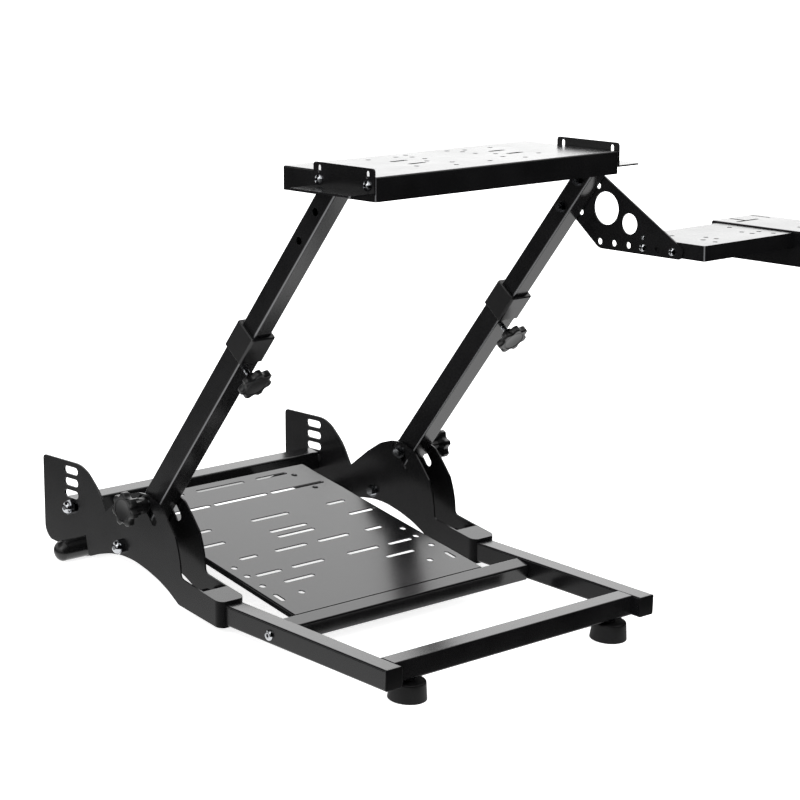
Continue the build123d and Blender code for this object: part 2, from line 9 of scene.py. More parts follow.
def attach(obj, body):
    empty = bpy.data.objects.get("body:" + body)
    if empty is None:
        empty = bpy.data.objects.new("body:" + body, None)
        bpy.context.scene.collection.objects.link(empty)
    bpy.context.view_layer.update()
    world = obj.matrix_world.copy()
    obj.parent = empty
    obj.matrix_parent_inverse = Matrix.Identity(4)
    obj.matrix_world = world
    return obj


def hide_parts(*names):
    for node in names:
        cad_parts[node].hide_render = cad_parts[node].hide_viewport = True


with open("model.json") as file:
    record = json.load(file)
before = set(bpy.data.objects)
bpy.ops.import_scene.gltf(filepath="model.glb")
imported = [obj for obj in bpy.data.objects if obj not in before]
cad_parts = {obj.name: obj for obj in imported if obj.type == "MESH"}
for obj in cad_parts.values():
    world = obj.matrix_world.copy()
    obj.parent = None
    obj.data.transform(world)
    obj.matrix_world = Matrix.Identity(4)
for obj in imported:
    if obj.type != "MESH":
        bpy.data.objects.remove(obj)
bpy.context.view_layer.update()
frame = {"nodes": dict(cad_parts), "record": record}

print("frame loaded")

nodes = frame["nodes"]
sides = {"left": -1, "right": 1}


def linear(code):
    parts = [int(code[i:i + 2], 16) / 255 for i in (0, 2, 4)]
    return [p / 12.92 if p <= 0.04045 else ((p + 0.055) / 1.055) ** 2.4 for p in parts] + [1.0]


def addNode(tree, kind, settings=None, links=None):
    made = tree.nodes.new(kind)
    for name, value in (settings or {}).items():
        if isinstance(name, str) and name in made.bl_rna.properties:
            setattr(made, name, value)
        else:
            made.inputs[name].default_value = value
    for name, source in (links or {}).items():
        tree.links.new(source, made.inputs[name])
    return made


def newMaterial(name):
    made = bpy.data.materials.new(name)
    made.use_nodes = True
    made.node_tree.nodes.clear()
    return made, made.node_tree


def perMm(size):
    return 1000.0 / size  # noise scale whose grain is this many mm on Object coordinates


# Polyester powder coat baked on steel: satin black, a fine orange peel; rounded corners get a painted highlight
coatLook = dict(thin="151516", thick="0f0f10", cornerHighlight="7c7c7e", roughness=(0.2, 0.23), ior=1.45, peelMm=2.4,
                peelDepth=0.000005, poolMm=70, poolSpan=(0.35, 0.68), satinSpan=(0.3, 0.7),
                cornerHighlightSpan=(0.28, 0.5), edgeMm=0.3)
# the flat sheets show a smoother coat and crisper cut edges
plateLook = dict(coatLook, peelDepth=0.000002, edgeMm=0.1)


def powderCoat(name, highlightAcross=(0, -1, 0), highlightShare=0.0, look=coatLook):
    made, tree = newMaterial(name)
    space = addNode(tree, "ShaderNodeTexCoord")
    pool = addNode(tree, "ShaderNodeTexNoise",
                   {"Scale": perMm(look["poolMm"]), "Detail": 3.0, "Roughness": 0.55},
                   {"Vector": space.outputs["Object"]})
    tint = addNode(tree, "ShaderNodeValToRGB", {}, {"Fac": pool.outputs["Fac"]})
    tint.color_ramp.elements[0].position = look["poolSpan"][0]
    tint.color_ramp.elements[0].color = linear(look["thick"])
    tint.color_ramp.elements[1].position = look["poolSpan"][1]
    tint.color_ramp.elements[1].color = linear(look["thin"])
    paint = tint.outputs["Color"]
    if highlightShare:
        # a face between the side and the chosen direction belongs to a rounded corner, painted lighter there as
        # a highlight
        side = addNode(tree, "ShaderNodeVectorMath", {"operation": "DOT_PRODUCT"},
                       {0: space.outputs["Normal"]})
        side.inputs[1].default_value = (1, 0, 0)
        over = addNode(tree, "ShaderNodeVectorMath", {"operation": "DOT_PRODUCT"},
                       {0: space.outputs["Normal"]})
        over.inputs[1].default_value = highlightAcross
        both = addNode(tree, "ShaderNodeMath", {"operation": "MULTIPLY"},
                       {0: side.outputs["Value"], 1: over.outputs["Value"]})
        size = addNode(tree, "ShaderNodeMath", {"operation": "ABSOLUTE"}, {0: both.outputs[0]})
        cornerHighlight = addNode(tree, "ShaderNodeMapRange",
                       {"From Min": look["cornerHighlightSpan"][0], "From Max": look["cornerHighlightSpan"][1], "To Max": highlightShare},
                       {"Value": size.outputs[0]})
        ramp = addNode(tree, "ShaderNodeMix", {"data_type": "RGBA"}, {"Factor": cornerHighlight.outputs["Result"]})
        ramp.inputs[7].default_value = linear(look["cornerHighlight"])
        tree.links.new(paint, ramp.inputs[6])
        paint = ramp.outputs[2]
    peel = addNode(tree, "ShaderNodeTexNoise", {"Scale": perMm(look["peelMm"]), "Detail": 2.0},
                   {"Vector": space.outputs["Object"]})
    satin = addNode(tree, "ShaderNodeMapRange",
                    {"From Min": look["satinSpan"][0], "From Max": look["satinSpan"][1],
                     "To Min": look["roughness"][0], "To Max": look["roughness"][1]},
                    {"Value": pool.outputs["Fac"]})
    edge = addNode(tree, "ShaderNodeBevel", {"samples": 4, "Radius": look["edgeMm"] / 1000})
    bump = addNode(tree, "ShaderNodeBump", {"Strength": 0.5, "Distance": look["peelDepth"]},
                   {"Height": peel.outputs["Fac"], "Normal": edge.outputs["Normal"]})
    skin = addNode(tree, "ShaderNodeBsdfPrincipled", {"IOR": look["ior"]},
                   {"Base Color": paint, "Roughness": satin.outputs["Result"],
                    "Normal": bump.outputs["Normal"]})
    addNode(tree, "ShaderNodeOutputMaterial", {}, {"Surface": skin.outputs["BSDF"]})
    return made


# Glass-filled nylon, injection moulded: dull black with a spark-eroded grain, drawn coarser than life to show
nylonLook = dict(colour="0b0b0c", worn="101011", roughness=0.33, ior=1.5, grainMm=0.9, grainDepth=0.00006,
                 blushMm=18, edgeMm=0.6)


def mouldedPlastic(name, look):
    made, tree = newMaterial(name)
    place = addNode(tree, "ShaderNodeTexCoord").outputs["Object"]
    grain = addNode(tree, "ShaderNodeTexNoise",
                    {"Scale": perMm(look["grainMm"]), "Detail": 3.0, "Roughness": 0.6}, {"Vector": place})
    blush = addNode(tree, "ShaderNodeTexNoise", {"Scale": perMm(look["blushMm"]), "Detail": 2.0},
                    {"Vector": place})
    tint = addNode(tree, "ShaderNodeValToRGB", {}, {"Fac": blush.outputs["Fac"]})
    tint.color_ramp.elements[0].color = linear(look["colour"])
    tint.color_ramp.elements[1].color = linear(look["worn"])
    edge = addNode(tree, "ShaderNodeBevel", {"samples": 4, "Radius": look["edgeMm"] / 1000})
    bump = addNode(tree, "ShaderNodeBump", {"Strength": 0.6, "Distance": look["grainDepth"]},
                   {"Height": grain.outputs["Fac"], "Normal": edge.outputs["Normal"]})
    skin = addNode(tree, "ShaderNodeBsdfPrincipled", {"IOR": look["ior"], "Roughness": look["roughness"]},
                   {"Base Color": tint.outputs["Color"], "Normal": bump.outputs["Normal"]})
    addNode(tree, "ShaderNodeOutputMaterial", {}, {"Surface": skin.outputs["BSDF"]})
    return made


# Bright zinc plate on a cold-headed steel screw: pale grey metal, faint mottling, a softly hazed gloss
zincLook = dict(bright="c2c4c7", dull="a9abae", roughness=(0.05, 0.1), streakMm=1.6, streakDepth=0.00003)


def zincPlate(name, look=zincLook):
    made, tree = newMaterial(name)
    place = addNode(tree, "ShaderNodeTexCoord").outputs["Object"]
    haze = addNode(tree, "ShaderNodeTexNoise", {"Scale": perMm(look["streakMm"]), "Detail": 4.0},
                   {"Vector": place})
    tint = addNode(tree, "ShaderNodeValToRGB", {}, {"Fac": haze.outputs["Fac"]})
    tint.color_ramp.elements[0].color = linear(look["dull"])
    tint.color_ramp.elements[1].color = linear(look["bright"])
    gloss = addNode(tree, "ShaderNodeMapRange",
                    {"To Min": look["roughness"][0], "To Max": look["roughness"][1]},
                    {"Value": haze.outputs["Fac"]})
    bump = addNode(tree, "ShaderNodeBump", {"Strength": 0.4, "Distance": look["streakDepth"]},
                   {"Height": haze.outputs["Fac"]})
    skin = addNode(tree, "ShaderNodeBsdfPrincipled", {"Metallic": 1.0},
                   {"Base Color": tint.outputs["Color"], "Roughness": gloss.outputs["Result"],
                    "Normal": bump.outputs["Normal"]})
    addNode(tree, "ShaderNodeOutputMaterial", {}, {"Surface": skin.outputs["BSDF"]})
    return made


# Black oxide on a plain steel nut: a thin, oily black that keeps the metal's gloss
oxideLook = dict(bright="6a6c6f", dull="4a4b4e", roughness=(0.2, 0.3), streakMm=1.8, streakDepth=0.00003)

# Nitrile rubber, compression moulded: the dullest black here, with a coarse skin
rubberLook = dict(nylonLook, colour="0e0e0f", worn="151516", roughness=0.42, grainMm=1.4,
                  grainDepth=0.00012, edgeMm=0.8)
# Acetal, injection moulded: a slick black sleeve with a faint grain
sleeveLook = dict(nylonLook, colour="0d0d0e", worn="131314", roughness=0.3, grainMm=0.8,
                  grainDepth=0.00004, edgeMm=0.8)
# Polyethylene cap: as slick as the sleeve, a little more uneven
capLook = dict(sleeveLook, grainMm=1.0, grainDepth=0.00005)

# square to the arm's lower face, as the arm stands in the world
armUnderside = (0, -0.839, -0.543)
# share of the painted highlight on the rounded corners of the arms and plates
paintedHighlightShare = 0.9

finishes = {
    "frame_coat": powderCoat("powderCoatFrame"),
    "bracket_coat": powderCoat("powderCoatBrackets"),
    "arm_coat": powderCoat("powderCoatArms", armUnderside, paintedHighlightShare),
    "plate_coat": powderCoat("powderCoatPlates", (0, -1, 0), paintedHighlightShare, plateLook),
    "zinc": zincPlate("brightZincPlate"),
    "knob_plastic": mouldedPlastic("glassFilledNylon", nylonLook),
    "collar_plastic": mouldedPlastic("acetalSleeve", sleeveLook),
    "cap_plastic": mouldedPlastic("polyethyleneCap", capLook),
    "foot_rubber": mouldedPlastic("nitrileRubber", rubberLook),
}
blackOxide = zincPlate("blackOxideNut", oxideLook)
slotOf = {part["node"]: part["material_slot"] for part in frame["record"]["subparts"]}
for name, thing in nodes.items():
    thing.data.materials.clear()
    thing.data.materials.append(blackOxide if name.startswith("shifter_bolt") else finishes[slotOf[name]])
print("finishes on", len(nodes), "CAD pieces")

# the maker's level drawing, in millimetres: X right, Y back, Z up, before the stand leans back on its feet
leanLook = dict(lean=5.83, lift=34.89, shift=(-132.25, -411.877))
armLook = dict(x=265.3, slope=51.25, y=432.85, z=300.0)


def levelToWorld(look):
    turned = Matrix.Rotation(-math.radians(look["lean"]), 4, "X")
    at = Vector((look["shift"][0], look["shift"][1], look["lift"]))
    return Matrix.Scale(0.001, 4) @ Matrix.Translation(at) @ turned


toWorld = levelToWorld(leanLook)


def armPlace(along, side, look=armLook):
    # out of the front of the arm, square to it
    a = math.radians(look["slope"])
    at = (side * look["x"], look["y"] - along * math.cos(a), look["z"] + along * math.sin(a))
    return Matrix.Translation(at) @ Matrix.Rotation(math.radians(180 - look["slope"]), 4, "X")


def sidePlace(x, y, z, side):
    # outwards from the side of the stand
    return Matrix.Translation((side * x, y, z)) @ Matrix.Rotation(side * math.pi / 2, 4, "Y")


finishLook = dict(mergeM=1e-6, sharpDegrees=32)


def finishPiece(name, mesh, place, material, body, replaced=()):
    mesh.transform(toWorld @ place)
    work = bmesh.new()
    work.from_mesh(mesh)
    bmesh.ops.remove_doubles(work, verts=work.verts, dist=finishLook["mergeM"])
    bmesh.ops.recalc_face_normals(work, faces=work.faces)
    work.to_mesh(mesh)
    work.free()
    mesh.polygons.foreach_set("use_smooth", [True] * len(mesh.polygons))
    mesh.set_sharp_from_angle(angle=math.radians(finishLook["sharpDegrees"]))
    mesh.materials.clear()
    mesh.materials.append(material)
    piece = bpy.data.objects.new(name, mesh)
    bpy.context.scene.collection.objects.link(piece)
    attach(piece, body)
    if replaced:
        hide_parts(*replaced)
    return piece


# Star knobs: seven blunt points, wide scallops between them, a dished face inside a fine ring
# shoulder rings: height over the hub, inset, share of the scallop; rim rings: drop from the face, inset, share;
# dish rings: drop from the face, radius, depth of the scallops
starLook = dict(points=7, steps=16, radius=27.0, blunt=0.3, scallop=5.4, turn=0.5,
                shoulder=[(0, 2.6, 0.9), (1.0, 0.5, 1), (2.0, 0, 1)],
                rim=[(2.4, 0, 1), (1.0, 0.6, 1), (0.2, 2.0, 0.95), (0, 3.6, 0.8)],
                dish=[(0.3, 18.2, 0.5), (1.3, 17.6, 0), (1.3, 17.0, 0), (0.7, 16.4, 0), (1.5, 9.0, 0),
                      (1.8, 0, 0)])


def starKnob(name, look, hubRings, hubLength, thick):
    r, deep, top = look["radius"], look["scallop"], hubLength + thick
    # every ring is height, radius, depth of the scallops
    rings = [(0, 0, 0)] + hubRings
    rings += [(hubLength + over, r - inset, deep * share) for over, inset, share in look["shoulder"]]
    rings += [(top - drop, r - inset, deep * share) for drop, inset, share in look["rim"]]
    rings += [(top - drop, radius, depth) for drop, radius, depth in look["dish"]]
    count = look["points"] * look["steps"]
    verts, faces = [], []
    for height, radius, depth in rings:
        for i in range(count):
            inLobe = abs((i / look["steps"]) % 1.0 - 0.5) * 2  # 0 in the middle of a point, 1 in a scallop
            bite = max(inLobe - look["blunt"], 0) / (1 - look["blunt"])
            reach = radius - depth * (1 - (1 - bite) ** 2)
            angle = 2 * math.pi * (i / look["steps"] + look["turn"]) / look["points"]
            verts.append((reach * math.cos(angle), reach * math.sin(angle), height))
    for k in range(len(rings) - 1):
        for i in range(count):
            j = (i + 1) % count
            faces.append((k * count + i, k * count + j, (k + 1) * count + j, (k + 1) * count + i))
    mesh = bpy.data.meshes.new(name)
    mesh.from_pydata(verts, [], faces)
    return mesh


tiltKnobLook = dict(x=292.8, y=537.15, z=169.67, length=29.7, thick=13.0,
                    hub=[(0, 12.6, 0), (1.5, 13.2, 0), (11, 12.6, 0), (12, 13.4, 1.6), (13, 14.0, 2.4),
                         (22, 13.6, 2.4), (25.0, 15.0, 2.6), (28.4, 21.0, 3.6)])
heightKnobLook = dict(along=157.0, out=32.0, length=9.5, thick=11.5,
                      hub=[(0, 8.0, 0), (0.6, 8.6, 0), (3.0, 9.6, 0), (6.0, 13.0, 1.0), (8.6, 20.5, 3.4)])

nylon = finishes["knob_plastic"]
for word, side in sides.items():
    letter = word[0]
    look = tiltKnobLook
    mesh = starKnob("tiltKnob_" + word, starLook, look["hub"], look["length"], look["thick"])
    finishPiece("tiltKnob_" + word, mesh, sidePlace(look["x"], look["y"], look["z"], side),
                nylon, "tilt_knob_" + letter, ("tilt_knob_" + word,))
    look = heightKnobLook
    mesh = starKnob("heightKnob_" + word, starLook, look["hub"], look["length"], look["thick"])
    finishPiece("heightKnob_" + word, mesh,
                armPlace(look["along"], side) @ Matrix.Translation((0, 0, look["out"])),
                nylon, "height_knob_" + letter, ("height_knob_" + word,))
print("star knobs turned")


def newTree(name, inputs):
    tree = bpy.data.node_groups.new(name, "GeometryNodeTree")
    for label, kind, value in inputs:
        socket = tree.interface.new_socket(name=label, in_out="INPUT", socket_type=kind)
        if value is not None:
            socket.default_value = value
    tree.interface.new_socket(name="Geometry", in_out="OUTPUT", socket_type="NodeSocketGeometry")
    return tree, tree.nodes.new("NodeGroupInput")


def grow(tree, base, values):
    holder = bpy.data.objects.new(tree.name, base)
    bpy.context.scene.collection.objects.link(holder)
    modifier = holder.modifiers.new(tree.name, "NODES")
    modifier.node_group = tree
    sockets = {item.name: item.identifier for item in tree.interface.items_tree if item.in_out == "INPUT"}
    for label, value in values.items():
        modifier[sockets[label]] = value
    grown = holder.evaluated_get(bpy.context.evaluated_depsgraph_get())
    mesh = bpy.data.meshes.new_from_object(grown)
    holder.modifiers.remove(modifier)
    bpy.data.objects.remove(holder)
    return mesh


# M8 set screw of each height knob: a cold-rolled thread on bright zinc
threadLook = dict(core=3.5, crest=4.0, pitch=1.25, tip=16.3, end=33.0, along=157.0)


def screwThread(look):
    tree, given = newTree("screwThread", [("Core", "NodeSocketFloat", look["core"]),
                                          ("Crest", "NodeSocketFloat", look["crest"]),
                                          ("Pitch", "NodeSocketFloat", look["pitch"]),
                                          ("Length", "NodeSocketFloat", look["end"] - look["tip"]),
                                          ("Finish", "NodeSocketMaterial", None)])
    core = addNode(tree, "GeometryNodeMeshCylinder", {"Vertices": 32},
                   {"Radius": given.outputs["Core"], "Depth": given.outputs["Length"]})
    half = addNode(tree, "ShaderNodeMath", {"operation": "MULTIPLY", 1: 0.5}, {0: given.outputs["Length"]})
    lift = addNode(tree, "ShaderNodeCombineXYZ", {}, {"Z": half.outputs[0]})
    stood = addNode(tree, "GeometryNodeTransform", {}, {"Geometry": core.outputs["Mesh"],
                                                        "Translation": lift.outputs["Vector"]})
    turns = addNode(tree, "ShaderNodeMath", {"operation": "DIVIDE"},
                    {0: given.outputs["Length"], 1: given.outputs["Pitch"]})
    spiral = addNode(tree, "GeometryNodeCurveSpiral", {"Resolution": 28},
                     {"Rotations": turns.outputs[0], "Start Radius": given.outputs["Core"],
                      "End Radius": given.outputs["Core"], "Height": given.outputs["Length"]})
    ridge = addNode(tree, "ShaderNodeMath", {"operation": "SUBTRACT"},
                    {0: given.outputs["Crest"], 1: given.outputs["Core"]})
    profile = addNode(tree, "GeometryNodeCurvePrimitiveCircle", {"Resolution": 4},
                      {"Radius": ridge.outputs[0]})
    swept = addNode(tree, "GeometryNodeCurveToMesh", {"Fill Caps": True},
                    {"Curve": spiral.outputs["Curve"], "Profile Curve": profile.outputs["Curve"]})
    both = addNode(tree, "GeometryNodeJoinGeometry")
    tree.links.new(stood.outputs["Geometry"], both.inputs[0])
    tree.links.new(swept.outputs["Mesh"], both.inputs[0])
    real = addNode(tree, "GeometryNodeRealizeInstances", {}, {"Geometry": both.outputs[0]})
    coated = addNode(tree, "GeometryNodeSetMaterial", {}, {"Geometry": real.outputs[0],
                                                           "Material": given.outputs["Finish"]})
    addNode(tree, "NodeGroupOutput", {}, {"Geometry": coated.outputs[0]})
    return tree


zinc = finishes["zinc"]
threadTree = screwThread(threadLook)
for word, side in sides.items():
    look = threadLook
    mesh = grow(threadTree, bpy.data.meshes.new("threadSeed"),
                {"Core": look["core"], "Crest": look["crest"], "Pitch": look["pitch"],
                 "Length": look["end"] - look["tip"], "Finish": zinc})
    finishPiece("heightScrew_" + word, mesh,
                armPlace(look["along"], side) @ Matrix.Translation((0, 0, look["tip"])), zinc,
                "height_knob_" + word[0])
print("threads cut")

# Button-head screws in the plate angles and in the shifter's row: X, Y, Z, which way they look, head radius
buttonLook = dict(rise=0.78, socket=0.4, depth=0.5,
                  at=[(-247.7, 70.5, 702.1, -1, 7.6), (-247.7, 172.0, 702.1, -1, 7.6),
                      (247.7, 70.5, 702.1, 1, 7.6), (247.7, 172.0, 702.1, 1, 7.6),
                      (281.3, 37.0, 567.0, -1, 6.4), (281.3, -22.1, 567.0, -1, 6.4),
                      (281.3, 36.5, 582.0, -1, 3.4)])


def buttonHeads(look):
    tree, given = newTree("buttonHeads", [("Points", "NodeSocketGeometry", None),
                                          ("Rise", "NodeSocketFloat", look["rise"]),
                                          ("Socket", "NodeSocketFloat", look["socket"]),
                                          ("Depth", "NodeSocketFloat", look["depth"]),
                                          ("Finish", "NodeSocketMaterial", None)])
    ball = addNode(tree, "GeometryNodeMeshUVSphere", {"Segments": 36, "Rings": 18, "Radius": 1.0})
    squat = addNode(tree, "ShaderNodeCombineXYZ", {"X": 1.0, "Y": 1.0}, {"Z": given.outputs["Rise"]})
    dome = addNode(tree, "GeometryNodeTransform", {}, {"Geometry": ball.outputs["Mesh"],
                                                       "Scale": squat.outputs["Vector"]})
    under = addNode(tree, "GeometryNodeMeshCube", {"Size": (3, 3, 3)})
    # half the block's height down, so that it takes the lower half of the ball off
    sunk = addNode(tree, "GeometryNodeTransform", {"Translation": (0, 0, -1.5)},
                   {"Geometry": under.outputs["Mesh"]})
    hexagon = addNode(tree, "GeometryNodeMeshCylinder", {"Vertices": 6},
                      {"Radius": given.outputs["Socket"], "Depth": given.outputs["Depth"]})
    raised = addNode(tree, "ShaderNodeCombineXYZ", {}, {"Z": given.outputs["Rise"]})
    key = addNode(tree, "GeometryNodeTransform", {}, {"Geometry": hexagon.outputs["Mesh"],
                                                      "Translation": raised.outputs["Vector"]})
    cut = addNode(tree, "GeometryNodeMeshBoolean", {"operation": "DIFFERENCE"},
                  {"Mesh 1": dome.outputs["Geometry"]})
    tree.links.new(sunk.outputs["Geometry"], cut.inputs["Mesh 2"])
    tree.links.new(key.outputs["Geometry"], cut.inputs["Mesh 2"])
    aim = addNode(tree, "GeometryNodeInputNamedAttribute", {"data_type": "FLOAT_VECTOR", "Name": "outward"})
    size = addNode(tree, "GeometryNodeInputNamedAttribute", {"data_type": "FLOAT", "Name": "headRadius"})
    turned = addNode(tree, "FunctionNodeAlignRotationToVector", {"axis": "Z"},
                     {"Vector": aim.outputs["Attribute"]})
    heads = addNode(tree, "GeometryNodeInstanceOnPoints", {},
                    {"Points": given.outputs["Points"], "Instance": cut.outputs["Mesh"],
                     "Rotation": turned.outputs["Rotation"], "Scale": size.outputs["Attribute"]})
    real = addNode(tree, "GeometryNodeRealizeInstances", {}, {"Geometry": heads.outputs["Instances"]})
    coated = addNode(tree, "GeometryNodeSetMaterial", {}, {"Geometry": real.outputs[0],
                                                           "Material": given.outputs["Finish"]})
    addNode(tree, "NodeGroupOutput", {}, {"Geometry": coated.outputs[0]})
    return tree


def placeButtons(look):
    points = bpy.data.meshes.new("buttonPoints")
    points.from_pydata([spot[:3] for spot in look["at"]], [], [])
    points.attributes.new("outward", "FLOAT_VECTOR", "POINT")
    points.attributes.new("headRadius", "FLOAT", "POINT")
    for i, spot in enumerate(look["at"]):
        points.attributes["outward"].data[i].vector = (spot[3], 0, 0)
        points.attributes["headRadius"].data[i].value = spot[4]
    mesh = grow(buttonHeads(look), points, {"Rise": look["rise"], "Socket": look["socket"],
                                            "Depth": look["depth"], "Finish": zinc})
    finishPiece("buttonHeads", mesh, Matrix.Identity(4), zinc, "upper_frame")


placeButtons(buttonLook)
print("button heads set")

# Ear plates: laser-cut sheet with long soft corners; corners are Y, Z, radius in the level drawing
earLook = dict(x=258.5, sheet=3.5, edge=0.4, slots=4, slotAt=(777.5, 117.5), pitch=19.6,
               slotSize=(37.0, 12.5), tubeAt=(743.0, 57.4, 16.6), bossAt=(672.0, 82.0, 11.0), bossX=265.5,
               bossLong=46.0,
               corners=[(660.0, 70.0, 6), (658.0, 96.0, 8), (676.0, 110.0, 10), (701.5, 155.0, 90),
                        (742.0, 191.0, 62), (855.0, 191.0, 7), (855.0, 48.5, 26), (716.0, 48.5, 8),
                        (704.0, 66.0, 8)])


def softCorners(corners, steps=10):
    points = []
    for i, (y, z, radius) in enumerate(corners):
        at = Vector((y, z))
        back = (Vector(corners[i - 1][:2]) - at).normalized()
        ahead = (Vector(corners[(i + 1) % len(corners)][:2]) - at).normalized()
        half = back.angle(ahead) / 2
        cut = radius / math.tan(half)
        middle = at + (back + ahead).normalized() * radius / math.sin(half)
        start, end = at + back * cut - middle, at + ahead * cut - middle
        turn = start.angle_signed(end)
        for k in range(steps + 1):
            arm = Matrix.Rotation(-turn * k / steps, 2) @ start
            points.append(tuple(middle + arm))
    return points


def ring(y, z, radius, steps=48):
    return [(y + radius * math.cos(2 * math.pi * i / steps), z + radius * math.sin(2 * math.pi * i / steps))
            for i in range(steps)]


def slotLoop(y, z, length, width, steps=12):
    loop, r = [], width / 2
    for end in (1, -1):
        for i in range(steps + 1):
            angle = math.pi * (i / steps - 0.5) + (0 if end > 0 else math.pi)
            loop.append((y + end * (length / 2 - r) + r * math.cos(angle), z + r * math.sin(angle)))
    return loop


def cutSheet(name, loops, thick, edge):
    flat = bpy.data.curves.new(name, "CURVE")
    flat.dimensions = "2D"
    flat.fill_mode = "BOTH"
    flat.extrude = thick / 2 - edge
    flat.bevel_depth = edge
    flat.bevel_resolution = 0
    flat.offset = -edge
    for loop in loops:
        line = flat.splines.new("POLY")
        line.points.add(len(loop) - 1)
        line.points.foreach_set("co", [v for y, z in loop for v in (y, z, 0, 1)])
        line.use_cyclic_u = True
    holder = bpy.data.objects.new(name, flat)
    bpy.context.scene.collection.objects.link(holder)
    mesh = bpy.data.meshes.new_from_object(holder.evaluated_get(bpy.context.evaluated_depsgraph_get()))
    bpy.data.objects.remove(holder)
    return mesh


def buildEars(look):
    y, z = look["slotAt"]
    loops = [softCorners(look["corners"]), ring(*look["tubeAt"])]
    loops += [slotLoop(y, z + i * look["pitch"], *look["slotSize"]) for i in range(look["slots"])]
    # the sheet's flat X and Y become Y and Z, and its thickness lies along X
    sideways = Matrix(((0, 0, 1, 0), (1, 0, 0, 0), (0, 1, 0, 0), (0, 0, 0, 1)))
    for word, side in sides.items():
        plate = cutSheet("earPlate", loops, look["sheet"], look["edge"])
        plate.transform(Matrix.Translation((side * look["x"], 0, 0)) @ sideways)
        boss = cutSheet("earBoss", [ring(*look["bossAt"])], look["bossLong"], look["edge"])
        boss.transform(Matrix.Translation((side * look["bossX"], 0, 0)) @ sideways)
        work = bmesh.new()
        work.from_mesh(plate)
        work.from_mesh(boss)
        work.to_mesh(plate)
        work.free()
        finishPiece("earPlate_" + word, plate, Matrix.Identity(4), finishes["bracket_coat"],
                    "base", ("ear_" + word,))


buildEars(earLook)

# Rear tube caps: blow-moulded, with a fully rounded end
capEndLook = dict(x=304.5, y=743.0, z=57.4, radius=16.5, length=13.0, sides=48, rings=10)


def buildCaps(look):
    for word, side in sides.items():
        verts, faces, count = [(0, 0, 0)], [], look["sides"]
        for k in range(look["rings"]):
            angle = math.pi / 2 * k / look["rings"]
            for i in range(count):
                turn = 2 * math.pi * i / count
                verts.append((look["radius"] * math.cos(angle) * math.cos(turn),
                              look["radius"] * math.cos(angle) * math.sin(turn),
                              look["length"] * math.sin(angle)))
        verts.append((0, 0, look["length"]))
        for i in range(count):
            j = (i + 1) % count
            faces.append((0, 1 + j, 1 + i))
            for k in range(look["rings"] - 1):
                low, high = 1 + k * count, 1 + (k + 1) * count
                faces.append((low + i, low + j, high + j, high + i))
            last = 1 + (look["rings"] - 1) * count
            faces.append((last + i, last + j, len(verts) - 1))
        mesh = bpy.data.meshes.new("rearCapEnd")
        mesh.from_pydata(verts, [], faces)
        finishPiece("rearCapEnd_" + word, mesh, sidePlace(look["x"], look["y"], look["z"], side),
                    finishes["cap_plastic"], "base", ("rear_cap_" + word,))


buildCaps(capEndLook)
print("ears and caps made")

# The camera is placed in the level drawing, where it stands upright, and then leans with the stand.
# place is in millimetres, yaw and pitch in degrees, focalPx for a picture imagePx wide
cameraLook = dict(yaw=42.591, pitch=11.987, place=(-2530.16, -2478.25, 1128.05), focalPx=2501.96, imagePx=800)


def placeCamera(look):
    data = bpy.data.cameras.new("camera")
    data.sensor_fit = "HORIZONTAL"
    data.sensor_width = 36.0
    data.lens = look["focalPx"] / look["imagePx"] * data.sensor_width
    data.clip_end = 100
    thing = bpy.data.objects.new("camera", data)
    bpy.context.scene.collection.objects.link(thing)
    aim = Matrix.Rotation(-math.radians(look["yaw"]), 4, "Z")
    aim = aim @ Matrix.Rotation(math.radians(90 - look["pitch"]), 4, "X")
    at = toWorld @ Vector(look["place"])
    thing.matrix_world = Matrix.Translation(at) @ toWorld.to_3x3().normalized().to_4x4() @ aim
    bpy.context.scene.camera = thing


placeCamera(cameraLook)

# Studio, in metres. Each card is its place, the way it faces and its size: one in front of the stand, one low
# before the pedal plate's front bar, one high behind on the left; the cards show only in reflections, as
# painted dark reflections. The floor's levels pair how steeply it is seen, 1 straight down, with its painted
# reflection's brightness
stageLook = dict(floorSize=60.0, floorColour="f4f4f4", floorGlow=0.8, worldAmbient=0.8, keyStrength=0.9,
                 keyAngle=50, keyFrom=(-0.8, 0.1, 0.75), boxSize=(10.0, 6.5), boxGlow=1.35,
                 boxAt=(4.4, 4.6, 3.4),
                 cards=(((1.6, -0.455, 0.41), (0, 1, 0), (7.0, 0.82)),
                        ((-0.14, -0.2, 0.011), (0, 1, 0), (0.46, 0.022)),
                        ((-2.2, 3.4, 4.2), (2.2, -3.4, -4.2), (9.0, 5.0))),
                 paintedReflectionLevels=((0.1, 0.01), (0.2, 0.02), (0.25, 0.05), (0.29, 0.1), (0.32, 0.17), (0.345, 0.4),
                        (0.37, 1.0), (0.39, 1.5), (1.0, 1.35)))


def plane(name, width, depth):
    mesh = bpy.data.meshes.new(name)
    w, d = width / 2, depth / 2
    mesh.from_pydata([(-w, -d, 0), (w, -d, 0), (w, d, 0), (-w, d, 0)], [], [(0, 1, 2, 3)])
    thing = bpy.data.objects.new(name, mesh)
    bpy.context.scene.collection.objects.link(thing)
    return thing


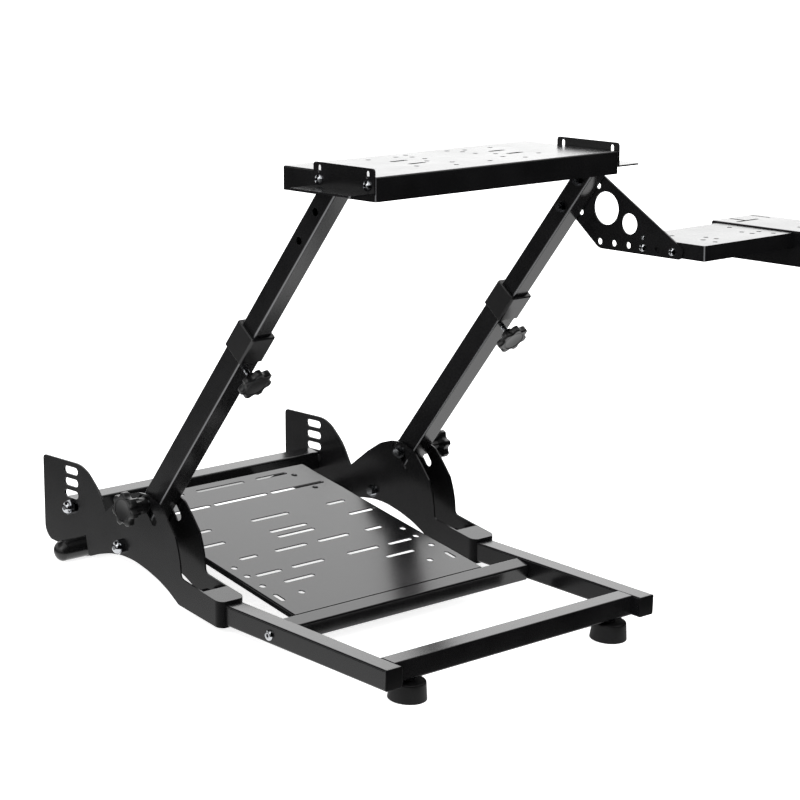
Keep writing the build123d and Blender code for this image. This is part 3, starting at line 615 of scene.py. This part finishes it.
def buildFloor(look):
    floor = plane("floor", look["floorSize"], look["floorSize"])
    made, tree = newMaterial("studioFloor")
    seen = addNode(tree, "ShaderNodeLightPath")
    glow = addNode(tree, "ShaderNodeEmission", {"Color": (1, 1, 1, 1), "Strength": look["floorGlow"]})
    paint = addNode(tree, "ShaderNodeBsdfDiffuse", {"Color": linear(look["floorColour"])})
    both = addNode(tree, "ShaderNodeAddShader", {}, {0: glow.outputs[0], 1: paint.outputs[0]})
    # seen only in reflections, the floor glows as a painted reflection, pale from above and deep along its
    # surface
    slant = addNode(tree, "ShaderNodeLayerWeight", {"Blend": 0.5})
    down = addNode(tree, "ShaderNodeMath", {"operation": "SUBTRACT", 0: 1.0}, {1: slant.outputs["Facing"]})
    paintedReflectionLevels = addNode(tree, "ShaderNodeValToRGB", {}, {"Fac": down.outputs[0]})
    stops = paintedReflectionLevels.color_ramp.elements
    while len(stops) < len(look["paintedReflectionLevels"]):
        stops.new(0.5)
    for stop, (position, level) in zip(stops, look["paintedReflectionLevels"]):
        stop.position = position
        stop.color = (level, level, level, 1)
    paintedFloorReflection = addNode(tree, "ShaderNodeEmission", {}, {"Color": paintedReflectionLevels.outputs["Color"]})
    unseen = addNode(tree, "ShaderNodeMixShader", {}, {0: seen.outputs["Is Glossy Ray"], 1: paint.outputs[0],
                                                       2: paintedFloorReflection.outputs[0]})
    pick = addNode(tree, "ShaderNodeMixShader", {}, {0: seen.outputs["Is Camera Ray"], 1: unseen.outputs[0],
                                                     2: both.outputs[0]})
    addNode(tree, "ShaderNodeOutputMaterial", {}, {"Surface": pick.outputs[0]})
    floor.data.materials.append(made)


def buildWorld(look):
    world = bpy.data.worlds.new("studio")
    bpy.context.scene.world = world
    world.use_nodes = True
    tree = world.node_tree
    tree.nodes.clear()
    seen = addNode(tree, "ShaderNodeLightPath")
    direct = addNode(tree, "ShaderNodeMath", {"operation": "MAXIMUM"},
                     {0: seen.outputs["Is Camera Ray"], 1: seen.outputs["Is Glossy Ray"]})
    bright = addNode(tree, "ShaderNodeMath", {"operation": "MAXIMUM"},
                     {0: direct.outputs[0], 1: seen.outputs["Is Transmission Ray"]})
    strength = addNode(tree, "ShaderNodeMapRange", {"To Min": look["worldAmbient"], "To Max": 1.0},
                       {"Value": bright.outputs[0]})
    sky = addNode(tree, "ShaderNodeBackground", {"Color": (1, 1, 1, 1)},
                  {"Strength": strength.outputs["Result"]})
    addNode(tree, "ShaderNodeOutputWorld", {}, {"Surface": sky.outputs[0]})


def buildLamps(look):
    key = bpy.data.lights.new("key", "SUN")
    key.energy = look["keyStrength"]
    key.angle = math.radians(look["keyAngle"])
    lamp = bpy.data.objects.new("key", key)
    bpy.context.scene.collection.objects.link(lamp)
    lamp.rotation_euler = Vector(look["keyFrom"]).to_track_quat("Z", "Y").to_euler()

    # a softbox behind the stand lies in the faces that look up
    soft = bpy.data.lights.new("softbox", "AREA")
    soft.shape = "RECTANGLE"
    soft.size, soft.size_y = look["boxSize"]
    soft.energy = look["boxGlow"] * math.pi * look["boxSize"][0] * look["boxSize"][1]
    lamp = bpy.data.objects.new("softbox", soft)
    bpy.context.scene.collection.objects.link(lamp)
    lamp.location = look["boxAt"]
    lamp.rotation_euler = Vector(look["boxAt"]).to_track_quat("Z", "Y").to_euler()

    # black cards, seen only in reflections, paint dark reflections where the faces towards the driver and the
    # sheet edges look
    made, tree = newMaterial("blackCardFelt")
    felt = addNode(tree, "ShaderNodeBsdfDiffuse", {"Color": linear("0a0a0a")})
    addNode(tree, "ShaderNodeOutputMaterial", {}, {"Surface": felt.outputs[0]})
    for i, (at, facing, size) in enumerate(look["cards"]):
        card = plane("blackCard%d" % i, *size)
        card.data.materials.append(made)
        turned = Vector(facing).to_track_quat("Z", "Y").to_matrix().to_4x4()
        card.matrix_world = Matrix.Translation(at) @ turned
        card.visible_camera = False
        card.visible_diffuse = False
        card.visible_shadow = False
        card.visible_transmission = False


def buildStage(look):
    buildFloor(look)
    buildWorld(look)
    buildLamps(look)


buildStage(stageLook)
bpy.context.scene.view_settings.view_transform = "Standard"
print("camera and stage set")
